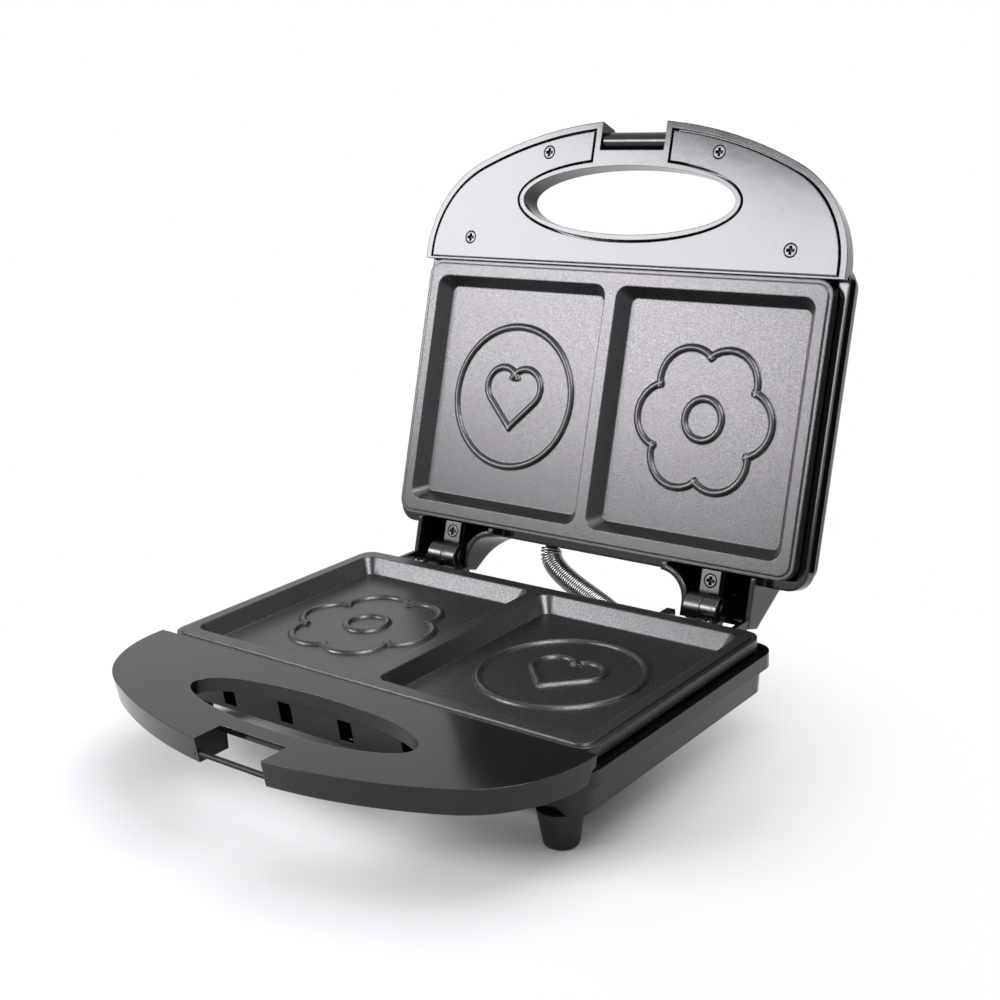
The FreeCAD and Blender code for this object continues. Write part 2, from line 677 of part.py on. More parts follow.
def foot(x, y):
    height = PARTING_H - BASE_DEPTH
    e = FOOT_EDGE
    profile = [V(0, 0, 0), V(FOOT_R - e, 0, 0)]
    bend = V(FOOT_R - e + e * math.sin(math.pi / 4), 0, e - e * math.cos(math.pi / 4))
    edges = [Part.LineSegment(profile[0], profile[1]).toShape()]
    edges.append(Part.Arc(profile[1], bend, V(FOOT_R, 0, e)).toShape())
    chain = [V(FOOT_R, 0, e), V(FOOT_TOP_R, 0, height), V(FOOT_STEM_R, 0, height)]
    chain += [V(FOOT_STEM_R, 0, height + FOOT_STEM_L), V(0, 0, height + FOOT_STEM_L), V(0, 0, 0)]
    for a, b in zip(chain, chain[1:]):
        edges.append(Part.LineSegment(a, b).toShape())
    solid = Part.Face(Part.Wire(edges)).revolve(V(0, 0, 0), V(0, 0, 1), 360)
    return placed(solid, x, y, -PARTING_H)


# Hinges: a leaf with an eye on each half, and a pin with riveted heads


def base_hinge():
    eye = rod_x(EYE_R, BASE_EYE_X, BASE_EYE_END, HINGE_Y, HINGE_Z)
    top = HINGE_Z - BASE_LEAF_DROP
    clear = HINGE_Y - HINGE_HEAD_R - SLIDE_GAP
    leaf = box(BASE_EYE_X, BASE_LEAF_X1, HINGE_Y - BASE_LEAF_L, clear, top - LEAF_T, top)
    root = box(BASE_EYE_X, BASE_EYE_END, clear, HINGE_Y, top - LEAF_T, top)
    hole = post(SCREW_R + SCREW_GAP, BASE_SCREW_X, LEAF_SCREW_Y, top - LEAF_T, top)
    bore = rod_x(HINGE_PIN_R + PIN_FIT / 2, BASE_EYE_X, BASE_EYE_END, HINGE_Y, HINGE_Z)
    return eye.fuse([leaf, root]).cut([hole, bore]).removeSplitter()


def lid_hinge_leaf():
    eye = rod_x(EYE_R, LID_EYE_X, LID_EYE_X + LID_EYE_W, HINGE_Y, HINGE_Z)
    low = HINGE_Z + LID_LEAF_RISE
    front, clear = HINGE_Y - LID_LEAF_L, HINGE_Y - EYE_R - SLIDE_GAP
    leaf = box(LID_LEAF_X0, LID_LEAF_X1, front, clear, low, low + LEAF_T)
    neck = box(LID_LEAF_X0, LID_EYE_X + LID_EYE_W, clear, HINGE_Y, low, low + LEAF_T)
    seat = placed(flat_seat(LEAF_T + REACH_PAST), LID_SCREW_X, LEAF_SCREW_Y, low, True)
    bore = rod_x(HINGE_PIN_R + PIN_FIT, LID_EYE_X, LID_EYE_X + LID_EYE_W, HINGE_Y, HINGE_Z)
    return eye.fuse([leaf, neck]).cut([seat, bore]).removeSplitter()


def hinge_pin():
    inner = LID_EYE_X - PIN_FIT
    outer = BASE_EYE_END
    shank = rod_x(HINGE_PIN_R, inner, outer, HINGE_Y, HINGE_Z)
    heads = [rod_x(HINGE_HEAD_R, inner - HINGE_HEAD_T, inner, HINGE_Y, HINGE_Z)]
    heads.append(rod_x(HINGE_HEAD_R, outer, outer + HINGE_HEAD_T, HINGE_Y, HINGE_Z))
    return shank.fuse(heads)


def base_hinge_screws():
    top = HINGE_Z - BASE_LEAF_DROP
    screw = placed(pan_screw(LEAF_T + SCREW_BITE), BASE_SCREW_X, LEAF_SCREW_Y, top)
    return Part.makeCompound(both_sides([screw]))


def lid_hinge_screws():
    low = HINGE_Z + LID_LEAF_RISE
    screw = placed(flat_screw(LEAF_T + SCREW_BITE), LID_SCREW_X, LEAF_SCREW_Y, low, True)
    return Part.makeCompound(both_sides([screw]))


# Lid housing: a crowned shell with a hollow grip and two rear lugs over the hinges


def lug(y_inset, x_inset, z_low):
    """One rear lug, or its hollow when the insets are walls."""
    end = HINGE_Y + LUG_END - y_inset
    slope = math.radians(LUG_SLOPE)
    roof = y_inset / math.sin(slope)
    knee_z = HINGE_Z + LUG_END_H + y_inset / math.tan(slope) - roof
    top_z = LID_DEPTH - y_inset
    top_y = end - (top_z - knee_z) / math.tan(slope)
    front = INNER_REAR_Y - REACH_PAST
    side = [(front, z_low), (end, z_low), (end, knee_z)]
    if top_y < front:
        side += [(front, knee_z + (end - front) * math.tan(slope))]
    else:
        side += [(top_y, top_z), (front, top_z)]
    bend_r = LUG_IN_X - LUG_ROOT_X
    bend_y = REAR + FLANGE_OUT + bend_r
    r = bend_r + x_inset
    mid = r * math.sqrt(0.5)
    root_x = LUG_ROOT_X + x_inset
    root = V(root_x, bend_y - math.sqrt(r * r - x_inset * x_inset), 0)
    x_in, x_out = LUG_IN_X + x_inset, LUG_OUT_X - (LUG_CHEEK if x_inset else 0)
    outline = [
        Part.LineSegment(V(root_x, front, 0), root).toShape(),
        Part.Arc(root, V(LUG_ROOT_X + mid, bend_y - mid, 0), V(x_in, bend_y, 0)).toShape(),
        Part.LineSegment(V(x_in, bend_y, 0), V(x_in, end, 0)).toShape(),
        Part.LineSegment(V(x_in, end, 0), V(x_out, end, 0)).toShape(),
        Part.LineSegment(V(x_out, end, 0), V(x_out, front, 0)).toShape(),
        Part.LineSegment(V(x_out, front, 0), V(root_x, front, 0)).toShape(),
    ]
    plan = prism(Part.Wire(outline), LID_DEPTH + PARTING_H)
    plan.translate(V(0, 0, -PARTING_H / 2))
    return plan.common(polygon_x(side, LUG_ROOT_X - REACH_PAST, LUG_OUT_X + REACH_PAST))


def cover_screw_places():
    right = [(COVER_SCREW_SIDE_X, FRONT - COVER_SCREW_SIDE_Y), (COVER_SCREW_TOP_X, FRONT - COVER_SCREW_TOP_Y)]
    return [(side * x, y) for side in (-1, 1) for x, y in right]


def lid_housing():
    low = LID_GRIP_RISE
    high = low + LID_GRIP_H
    body = taper(body_wire(0, FLANGE_END), body_wire(BODY_DRAFT, LID_DEPTH))
    crown = [e for e in body.Edges if abs(e.BoundBox.ZMin - LID_DEPTH) < 0.01 and e.BoundBox.ZLength < 0.01]
    shell = flange_band(FLANGE_DROP).fuse(body.makeFillet(LID_CROWN_R, crown))
    rows = [grip_outline(0, low)]
    for step in range(EDGE_STEPS + 1):
        turn = math.pi / 2 * step / EDGE_STEPS
        inset = GRIP_DRAFT + LID_GRIP_EDGE_R * (1 - math.cos(turn))
        rows.append(grip_outline(inset, high - LID_GRIP_EDGE_R * (1 - math.sin(turn))))
    grip = Part.makeLoft(rows, True, True)
    shell = shell.fuse([grip] + both_sides([lug(0, 0, HINGE_Z)]))
    x = HALF_W - WALL - BODY_IN
    cavity = round_rect(-x, x, BODY_FRONT_Y + WALL, INNER_REAR_Y, BODY_R - WALL, high)
    shell = shell.cut(prism(cavity, LID_INNER - high))
    mouth = [box(-x, x, DECK_Y, INNER_REAR_Y, 0, high + REACH_PAST)]
    mouth.append(box(-x, x, DECK_Y, REAR + SLIDE_GAP, HINGE_Z - REACH_PAST, FLANGE_DROP))
    back_y = DECK_Y - CROSS_RIB_T
    rim = LID_GRIP_RIM
    tray = grip_block(rim, rim, low - REACH_PAST, low + COVER_T + SLIDE_GAP, back_y)
    deep = grip_block(rim, rim + GRIP_DRAFT, low - REACH_PAST, high - WALL, BODY_FRONT_Y)
    hollows = both_sides([lug(WALL, WALL, HINGE_Z - REACH_PAST)])
    eye_room = box(LUG_IN_X + WALL, LUG_OUT_X - LUG_CHEEK, HINGE_Y - LUG_END, HINGE_Y + LUG_END + REACH_PAST,
                   HINGE_Z - REACH_PAST, HINGE_Z + LUG_ROOF)
    shell = shell.cut(mouth + [tray, deep] + hollows + both_sides([eye_room]))
    collar = oval(HOLE_A + COLLAR_T, HOLE_B + COLLAR_T, low, high - WALL / 2)
    side = NOTCH_W / 2 + NOTCH_WALL
    block = box(-side, side, GRIP_FRONT - REACH_PAST, HOLE_Y, low, high).common(grip)
    adds = [collar, block]
    boss_low = low + COVER_T
    for sx, sy in cover_screw_places():
        adds.append(post(SCREW_BOSS_R, sx, sy, boss_low, high - WALL / 2))
    for px in (-PLATE_BOSS_X, PLATE_BOSS_X):
        for py in (-PLATE_BOSS_Y, PLATE_BOSS_Y):
            adds.append(post(SCREW_HEAD_R + SLIDE_GAP + WALL, px, py, REFLECTOR_UNDER, LID_INNER + WALL / 2))
    leaf_top = HINGE_Z + LID_LEAF_RISE + LEAF_T
    seat_back = HINGE_Y - EYE_R - SLIDE_GAP
    seat_boss = box(LID_LEAF_X0, LID_LEAF_X1, REAR + SLIDE_GAP, seat_back, leaf_top, LID_DEPTH)
    seat_boss = seat_boss.common(lug(0, 0, HINGE_Z))
    shell = shell.fuse(adds + both_sides([seat_boss]))
    cuts = [oval(HOLE_A, HOLE_B, low - REACH_PAST, high + REACH_PAST)]
    notch_w = NOTCH_W / 2
    cuts.append(box(-notch_w, notch_w, GRIP_FRONT - REACH_PAST, NOTCH_Y, low - REACH_PAST, high + REACH_PAST))
    pin_end = notch_w + PIN_SOCKET + PIN_FIT
    cuts.append(rod_x(LATCH_PIN_R + PIN_FIT, -pin_end, pin_end, LATCH_Y, LATCH_PIN_RISE))
    for sx, sy in cover_screw_places():
        cuts.append(post(SCREW_R + SCREW_GAP, sx, sy, boss_low, boss_low + SCREW_BITE))
    for px in (-PLATE_BOSS_X, PLATE_BOSS_X):
        for py in (-PLATE_BOSS_Y, PLATE_BOSS_Y):
            cuts.append(post(SCREW_HEAD_R + SLIDE_GAP, px, py, REFLECTOR_UNDER, LID_INNER))
    bore = post(SCREW_R + SCREW_GAP, LID_SCREW_X, LEAF_SCREW_Y, leaf_top, leaf_top + SCREW_BITE + SLIDE_GAP)
    cuts += both_sides([bore])
    cuts += bush_room(GUARD_LID_X, GUARD_LID_RISE)
    for lamp_x in (-LAMP_X, LAMP_X):
        cuts.append(post(LAMP_STEM_R + SCREW_GAP, lamp_x, FRONT + LAMP_BACK, LID_INNER, LID_DEPTH))
    return shell.cut(cuts).removeSplitter()


def grip_cover():
    """Flat cover let into the inner face of the upper grip, round the finger hole and the notch."""
    low = LID_GRIP_RISE
    edge_y = DECK_Y - CROSS_RIB_T - COVER_GAP / 2
    inset = LID_GRIP_RIM + COVER_GAP
    plate = grip_block(inset, inset, low, low + COVER_T, edge_y)
    past = COLLAR_T + COVER_GAP
    side = NOTCH_W / 2 + NOTCH_WALL + COVER_GAP
    cuts = [oval(HOLE_A + past, HOLE_B + past, low, low + COVER_T)]
    cuts.append(box(-side, side, GRIP_FRONT - REACH_PAST, HOLE_Y, low, low + COVER_T))
    for x, y in cover_screw_places():
        cuts.append(placed(flat_seat(COVER_T + REACH_PAST), x, y, low, True))
    return plate.cut(cuts)


def grip_cover_screws():
    screw = flat_screw(COVER_T + SCREW_BITE - SLIDE_GAP)
    return Part.makeCompound([placed(screw, x, y, LID_GRIP_RISE, True) for x, y in cover_screw_places()])


# Latch: a barrel on its pin, and an arm whose hook goes under the catch bar


def latch_clip():
    bar_f = LATCH_Y - BAR_Y
    bar_z = -BAR_DROP - LATCH_PIN_RISE
    inner = bar_f + BAR_R + SLIDE_GAP
    outer = inner + LATCH_ARM_T
    hook = bar_z - BAR_R - LATCH_SLACK
    r = LATCH_BARREL_R
    side = r * math.sqrt(0.5)
    outline = [(0, r), (side, side), (r, 0), (r, -LATCH_NECK), (outer, -LATCH_SHOULDER)]
    outline += [(outer, hook - LATCH_HOOK_T)]
    outline += [(bar_f - LATCH_HOOK_PAST, hook - LATCH_HOOK_T), (bar_f - LATCH_HOOK_PAST, hook)]
    outline += [(inner, hook), (inner, -LATCH_SHOULDER - LATCH_ARM_T), (0, -r)]
    points = [(LATCH_Y - f, LATCH_PIN_RISE + z) for f, z in outline]
    arm = polygon_x(points, -LATCH_ARM_W / 2, LATCH_ARM_W / 2)
    half = NOTCH_W / 2 - SLIDE_GAP
    barrel = rod_x(r, -half, half, LATCH_Y, LATCH_PIN_RISE)
    bore = rod_x(LATCH_PIN_R + PIN_FIT, -half, half, LATCH_Y, LATCH_PIN_RISE)
    clip = barrel.fuse(arm).cut(bore).removeSplitter()
    clip.rotate(V(0, LATCH_Y, LATCH_PIN_RISE), V(1, 0, 0), -LATCH_SWING)
    return clip


def latch_pin():
    end = NOTCH_W / 2 + PIN_SOCKET
    return rod_x(LATCH_PIN_R, -end, end, LATCH_Y, LATCH_PIN_RISE)


# Wire guard: a wound spring from the lid to the base with the lid's lead inside


def opened(p):
    """Place of a point of the closed lid once the lid stands open."""
    cos, sin = math.cos(math.radians(OPEN_ANGLE)), math.sin(math.radians(OPEN_ANGLE))
    y, z = p.y - HINGE_Y, p.z - HINGE_Z
    return V(p.x, HINGE_Y + y * cos + z * sin, HINGE_Z - y * sin + z * cos)


def arc_middle(start, along, end):
    """Middle of the arc that leaves start along a direction and reaches end."""
    chord = end - start
    half = chord.Length / 2
    unit = chord * (1 / chord.Length)
    side = along - unit * along.dot(unit)
    middle = start + chord * 0.5
    if side.Length < 1e-7:
        return None
    angle = math.atan2(side.Length, along.dot(unit))
    return middle + side * (half * math.tan(angle / 2) / side.Length)


def biarc(p0, t0, p1, t1):
    """Two tangent arcs between two points with given directions."""
    v = p1 - p0
    both = t0 + t1
    k = 2 * (1 - t0.dot(t1))
    b = v.dot(both)
    d = (math.sqrt(b * b + k * v.dot(v)) - b) / k if k > 1e-9 else v.dot(v) / (4 * v.dot(t1))
    joint = (p0 + p1 + (t0 - t1) * d) * 0.5
    edges = []
    for start, along, end in ((p0, t0, joint), (p1, t1 * -1, joint)):
        middle = arc_middle(start, along, end)
        edges.append((start, middle, end))
    (a, m, j), (c, n, _) = edges
    return [(a, m, j), (j, n, c)]


def arc_edge(arc):
    start, middle, end = arc
    if middle is None:
        return Part.LineSegment(start, end).toShape()
    return Part.Arc(start, middle, end).toShape()


def guard_route():
    """Middle line of the guard: straight out of each bush, two arcs between."""
    lid_face = V(GUARD_LID_X, BODY_REAR_Y + BUSH_T, GUARD_LID_RISE)
    start = opened(lid_face)
    ahead = opened(lid_face + V(0, 1, 0)) - start
    end = V(GUARD_BASE_X, BODY_REAR_Y + BUSH_T, -GUARD_BASE_DROP)
    inward = V(0, -1, 0)
    leave = start + ahead * GUARD_LEAD_IN
    arrive = end - inward * GUARD_LEAD_IN
    arcs = biarc(leave, ahead, arrive, inward)
    return [arc_edge((start, None, leave))] + [arc_edge(a) for a in arcs] + [arc_edge((arrive, None, end))]


def route_at(edges, s):
    """Point and direction at a distance along the route."""
    for edge in edges:
        if s <= edge.Length or edge is edges[-1]:
            u = edge.getParameterByLength(min(max(s, 0), edge.Length))
            return edge.valueAt(u), edge.tangentAt(u)
        s -= edge.Length


def guard_spring():
    edges = guard_route()
    length = sum(e.Length for e in edges)
    wire_d = 2 * GUARD_WIRE_R
    lead_in = GUARD_LEAD_IN
    quarters = int(4 * (length - 2 * lead_in) / GUARD_PITCH)

    def coil(q):
        s = lead_in + (length - 2 * lead_in) * q / quarters
        p, t = route_at(edges, s)
        n = V(1, 0, 0) - t * t.x
        n = n * (1 / n.Length)
        b = t.cross(n)
        a = q * math.pi / 2
        return p + (n * math.cos(a) + b * math.sin(a)) * GUARD_COIL_R

    def heading(q):
        step = 0.01
        d = coil(min(q + step, quarters)) - coil(max(q - step, 0))
        return d * (1 / d.Length)

    def tail(q, s):
        """Straight end of the wire, parallel to the route and as far from it as the coil."""
        p, t = route_at(edges, s)
        here, _ = route_at(edges, lead_in if q == 0 else length - lead_in)
        return p + (coil(q) - here), t

    arcs = []
    p0, t0 = tail(0, 0)
    p1 = p0 + t0 * wire_d
    arcs.append((p0, None, p1))
    arcs += biarc(p1, t0, coil(1), heading(1))
    for q in range(1, quarters - 1):
        arcs += biarc(coil(q), heading(q), coil(q + 1), heading(q + 1))
    p3, t3 = tail(quarters, length)
    p2 = p3 - t3 * wire_d
    arcs += biarc(coil(quarters - 1), heading(quarters - 1), p2, t3)
    arcs.append((p2, None, p3))
    path = Part.Wire([arc_edge(a) for a in arcs])
    section = Part.Wire(Part.Circle(p0, t0, GUARD_WIRE_R).toShape())
    spring = path.makePipeShell([section], True, False)
    per_quarter = 6
    points = [coil(1 + i / per_quarter) for i in range((quarters - 2) * per_quarter + 1)]
    gap = min(
        points[i].distanceToPoint(points[j])
        for i in range(len(points))
        for j in range(i + 2 * per_quarter, min(i + 6 * per_quarter, len(points)))
    )
    print("wire guard turns", quarters / 4, "length", round(length, 2), "least gap", round(gap - wire_d, 3))
    print("wire guard volume over section times length",
          round(spring.Volume / (math.pi * GUARD_WIRE_R**2 * path.Length), 4))
    return spring


def lid_lead():
    edges = guard_route()
    path = Part.Wire(edges)
    p, t = route_at(edges, 0)
    section = Part.Wire(Part.Circle(p, t, LEAD_R).toShape())
    lead = path.makePipeShell([section], True, False)
    ratio = lead.Volume / (math.pi * LEAD_R**2 * path.Length)
    print("lid lead volume over section times length", round(ratio, 4))
    return lead


def bush(x, z, bore):
    """Flanged bush in a rear wall."""
    flange = rod_y(BUSH_R, x, BODY_REAR_Y, BODY_REAR_Y + BUSH_T, z)
    stem = rod_y(BUSH_STEM_R, x, INNER_REAR_Y, BODY_REAR_Y, z)
    return flange.fuse(stem).cut(rod_y(bore, x, INNER_REAR_Y, BODY_REAR_Y + BUSH_T, z))


def bush_room(x, z):
    """Cutters for a bush: its hole through the rear wall and its place in the flange."""
    hole = rod_y(BUSH_STEM_R + SCREW_GAP, x, INNER_REAR_Y - REACH_PAST, BODY_REAR_Y + REACH_PAST, z)
    return [hole, rod_y(BUSH_R + SLIDE_GAP, x, BODY_REAR_Y, REAR + FLANGE_OUT + REACH_PAST, z)]


# Electrical pieces inside the shells


def thermostat():
    low = -FLOOR_UNDER - THERMOSTAT_H
    body = post(THERMOSTAT_R, THERMOSTAT_X, 0, low, -FLOOR_UNDER)
    cap = post(THERMOSTAT_CAP_R, THERMOSTAT_X, 0, low - THERMOSTAT_CAP_H, low)
    blades = []
    for side in (-1, 1):
        y0, y1 = sorted((side * (THERMOSTAT_R - REACH_PAST), side * (THERMOSTAT_R + BLADE_L)))
        x0, x1 = THERMOSTAT_X - BLADE_W / 2, THERMOSTAT_X + BLADE_W / 2
        blades.append(box(x0, x1, y0, y1, low, low + BLADE_T))
    return body.fuse([cap] + blades)


def thermal_fuse():
    z = -FLOOR_UNDER - SEAT_GAP - FUSE_R
    end = FUSE_L / 2
    body = rod_y(FUSE_R, FUSE_X, -end, end, z)
    return body.fuse(rod_y(FUSE_LEAD_R, FUSE_X, -end - FUSE_LEAD_L, end + FUSE_LEAD_L, z))


def terminal_block():
    y1 = INNER_REAR_Y - SLIDE_GAP
    x0 = BLOCK_X - BLOCK_L / 2
    body = box(x0, x0 + BLOCK_L, y1 - BLOCK_W, y1, -BASE_INNER, -BASE_INNER + BLOCK_H)
    step = BLOCK_L / BLOCK_WAYS
    z = -BASE_INNER + BLOCK_H / 2
    holes = [rod_y(BLOCK_HOLE_R, x0 + step * (i + 0.5), y1 - BLOCK_W, y1, z) for i in range(BLOCK_WAYS)]
    return body.cut(holes)


def lamp_lens(x):
    dome_r = (LAMP_R * LAMP_R + LAMP_DOME * LAMP_DOME) / (2 * LAMP_DOME)
    y = FRONT + LAMP_BACK
    ball = Part.makeSphere(dome_r, V(x, y, LID_DEPTH + LAMP_DOME - dome_r))
    dome = ball.common(post(LAMP_R + REACH_PAST, x, y, LID_DEPTH, LID_DEPTH + LAMP_DOME))
    return dome.fuse(post(LAMP_STEM_R, x, y, LID_INNER, LID_DEPTH))


def lamp_bulbs():
    y = FRONT + LAMP_BACK
    low = LID_INNER - BULB_L
    return Part.makeCompound([post(BULB_R, x, y, low, LID_INNER) for x in (-LAMP_X, LAMP_X)])


def opened_lid(shape):
    copy = shape.copy()
    copy.rotate(V(0, HINGE_Y, HINGE_Z), V(1, 0, 0), -OPEN_ANGLE)
    return copy


lower_plate = cooking_plate(flower, heart_in_ring)
upper_plate = flipped(turned(lower_plate, 0, 0, 180))

base_pieces = {
    "base_housing": base_housing(),
    "catch_bar": catch_bar(),
    "lower_plate": lower_plate,
    "lower_heating_element": heating_element(),
    "lower_element_straps": element_straps(),
    "lower_reflector": reflector(),
    "lower_plate_screws": plate_screws(BASE_DEPTH - SCREW_HEAD_H - SLIDE_GAP),
    "thermostat": thermostat(),
    "thermal_fuse": thermal_fuse(),
    "terminal_block": terminal_block(),
    "cord_gland": bush(GLAND_X, -GLAND_DROP, GLAND_BORE_R),
    "base_guard_bush": bush(GUARD_BASE_X, -GUARD_BASE_DROP, LEAD_R + SLIDE_GAP),
    "base_hinge_right": base_hinge(),
    "base_hinge_left": left_of(base_hinge()),
    "hinge_pin_right": hinge_pin(),
    "hinge_pin_left": left_of(hinge_pin()),
    "base_hinge_screws": base_hinge_screws(),
    "wire_guard": guard_spring(),
    "lid_lead": lid_lead(),
}
for name, (foot_x, foot_y) in zip(("front_left", "front_right", "rear_left", "rear_right"), foot_places()):
    base_pieces["foot_" + name] = foot(foot_x, foot_y)

lid_pieces = {
    "lid_housing": lid_housing(),
    "grip_cover": grip_cover(),
    "grip_cover_screws": grip_cover_screws(),
    "upper_plate": upper_plate,
    "upper_heating_element": flipped(heating_element()),
    "upper_element_straps": flipped(element_straps()),
    "upper_reflector": flipped(reflector()),
    "upper_plate_screws": flipped(plate_screws(REFLECTOR_UNDER)),
    "lid_hinge_right": lid_hinge_leaf(),
    "lid_hinge_left": left_of(lid_hinge_leaf()),
    "lid_hinge_screws": lid_hinge_screws(),
    "lid_guard_bush": bush(GUARD_LID_X, GUARD_LID_RISE, LEAD_R + SLIDE_GAP),
    "power_lamp_lens": lamp_lens(-LAMP_X),
    "ready_lamp_lens": lamp_lens(LAMP_X),
    "lamp_bulbs": lamp_bulbs(),
    "latch_pin": latch_pin(),
    "latch_clip": latch_clip(),
}

os.makedirs("parts", exist_ok=True)
pieces = dict(base_pieces)
for name, shape in lid_pieces.items():
    pieces[name] = opened_lid(shape)
reach = Part.makeCompound([pieces[name] for name in ("base_housing", "lid_housing", "latch_clip")])
span = reach.optimalBoundingBox()
middle = (span.YMin + span.YMax) / 2
print("origin", round(middle, 3), "behind the middle of the plates")
for name, shape in pieces.items():
    shape.translate(V(0, -middle, PARTING_H))
    shape.exportStep("parts/" + name + ".step")
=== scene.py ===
import bpy
import json
import math
from mathutils import Matrix, Vector


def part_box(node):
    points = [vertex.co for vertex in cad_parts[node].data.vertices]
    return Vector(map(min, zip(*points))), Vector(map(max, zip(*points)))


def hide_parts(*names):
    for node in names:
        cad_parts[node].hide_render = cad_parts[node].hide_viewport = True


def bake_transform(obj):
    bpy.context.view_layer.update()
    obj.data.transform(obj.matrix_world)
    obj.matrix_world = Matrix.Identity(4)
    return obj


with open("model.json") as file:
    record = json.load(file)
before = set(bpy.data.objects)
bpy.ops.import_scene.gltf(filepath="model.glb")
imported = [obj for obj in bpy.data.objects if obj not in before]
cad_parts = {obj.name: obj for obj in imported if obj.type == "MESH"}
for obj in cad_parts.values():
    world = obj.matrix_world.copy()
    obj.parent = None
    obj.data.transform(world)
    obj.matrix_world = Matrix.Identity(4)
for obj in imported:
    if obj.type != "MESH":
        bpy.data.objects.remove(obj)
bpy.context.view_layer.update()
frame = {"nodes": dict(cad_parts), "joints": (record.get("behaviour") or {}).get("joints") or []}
nodes = frame["nodes"]


# Base housing: one injection moulding in glossy black, with the lower grip, the vents and the
# hinge ledges in the same piece. Its faces come straight off a polished mould, so the gloss has
# only a faint ripple, thin handling scratches and a little dust.

SHELL_BLACK = (0.004, 0.004, 0.0043, 1)
SHELL_DUSTY = (0.008, 0.008, 0.0084, 1)
SHELL_SHEEN = (0.95, 0.95, 1.0, 1)
SHELL_GLOSS = 0.1
SHELL_EDGE = 0.00045
SCRATCH_STRETCH = (1, 0.04, 1)
RIPPLE_DEPTH = 0.000012
ACRYLIC_IOR = 1.49


class Socket:
    """One socket of a node tree; sums and products with it add Math nodes."""

    def __init__(self, shading, output):
        self.shading = shading
        self.output = output

    def maths(self, operation, first, second):
        return self.shading.node("ShaderNodeMath", {"operation": operation}, {0: first, 1: second})

    def __add__(self, other):
        return self.maths("ADD", self, other)

    def __sub__(self, other):
        return self.maths("SUBTRACT", self, other)

    def __rsub__(self, other):
        return self.maths("SUBTRACT", other, self)

    def __mul__(self, other):
        return self.maths("MULTIPLY", self, other)

    __radd__ = __add__
    __rmul__ = __mul__


class Shading:
    """A node tree, of a material or of the room."""

    def __init__(self, tree):
        self.tree = tree

    def node(self, kind, settings, values, result=0):
        made = self.tree.nodes.new(kind)
        for key, value in settings.items():
            setattr(made, key, value)
        for key, value in values.items():
            self.feed(made.inputs[key], value)
        return Socket(self, made.outputs[result])

    def feed(self, target, value):
        if isinstance(value, Socket):
            self.tree.links.new(value.output, target)
        else:
            target.default_value = value


class Finish(Shading):
    """A material and the shader in it that takes the finish's values."""

    def __init__(self, name, **constants):
        self.material = bpy.data.materials.new(name)
        self.material.use_nodes = True
        super().__init__(self.material.node_tree)
        self.shader = self.tree.nodes["Principled BSDF"]
        self.place = self.node("ShaderNodeTexCoord", {}, {}, "Object")
        for words, value in constants.items():
            self.give(words.replace("_", " "), value)

    def give(self, words, value):
        self.feed(self.shader.inputs[words], value)

    def noise(self, per_metre, detail, stretch=(1, 1, 1)):
        """Noise between 0 and 1, with the number of its bumps per metre."""
        place = self.node("ShaderNodeMapping", {}, {"Vector": self.place, "Scale": stretch})
        values = {"Vector": place, "Scale": per_metre, "Detail": detail}
        return self.node("ShaderNodeTexNoise", {}, values)

    def above(self, value, low, high):
        """0 below low, 1 over high, smooth between."""
        smooth = {"interpolation_type": "SMOOTHSTEP"}
        return self.node("ShaderNodeMapRange", smooth, {"Value": value, "From Min": low, "From Max": high})

    def blend(self, mask, first, second):
        return self.node("ShaderNodeMix", {"data_type": "RGBA"}, {0: mask, 6: first, 7: second}, 2)

    def rounded(self, radius):
        """Normal with the edges eased by a small radius, as moulded and cast edges are."""
        return self.node("ShaderNodeBevel", {"samples": 6}, {"Radius": radius})

    def bump(self, height, depth, normal):
        values = {"Strength": 1.0, "Distance": depth, "Height": height, "Normal": normal}
        self.give("Normal", self.node("ShaderNodeBump", {}, values))


def dress(finish, *names):
    for name in names:
        nodes[name].material_slots[0].material = finish.material


def moulded_black(name, gloss, edge=SHELL_EDGE):
    """Black moulded plastic; edge is its corner radius, or works one out from the finish."""
    plastic = Finish(name, Specular_IOR_Level=0.43, Specular_Tint=SHELL_SHEEN, IOR=ACRYLIC_IOR)
    dust = plastic.above(plastic.noise(per_metre=900, detail=4), low=0.58, high=0.8)
    patches = plastic.noise(per_metre=35, detail=3)
    fine_lines = plastic.noise(per_metre=420, detail=2, stretch=SCRATCH_STRETCH)
    scratches = plastic.above(fine_lines, low=0.63, high=0.72)
    plastic.give("Base Color", plastic.blend(dust * patches, SHELL_BLACK, SHELL_DUSTY))
    plastic.give("Roughness", gloss + patches * 0.05 + scratches * 0.035 + dust * 0.06)
    ripple = plastic.noise(per_metre=160, detail=1)
    radius = edge(plastic) if callable(edge) else edge
    plastic.bump(ripple + scratches * 0.05, RIPPLE_DEPTH, plastic.rounded(radius))
    return plastic


shell = moulded_black("black_shell", SHELL_GLOSS)
dress(shell, "base_housing")


# Feet: four tapered plugs in satin black, pressed into the underside. A spark-eroded mould leaves
# them with a fine even grain.

FOOT_BLACK = (0.005, 0.005, 0.0055, 1)
FOOT_GREY = (0.009, 0.009, 0.0095, 1)
FOOT_GRAIN = 0.00004
FOOT_EDGE = 0.0004

feet = Finish("black_feet", Specular_IOR_Level=0.35)
grain = feet.noise(per_metre=2600, detail=3)
feet.give("Base Color", feet.blend(grain, FOOT_BLACK, FOOT_GREY))
feet.give("Roughness", 0.34 + grain * 0.16)
feet.bump(grain, FOOT_GRAIN, feet.rounded(FOOT_EDGE))
dress(feet, "foot_front_left", "foot_front_right", "foot_rear_left", "foot_rear_right")


# Reflectors and heater straps: thin pressed steel sheet under the heaters, with the marks of the
# rolls and a straw tint from the heat.

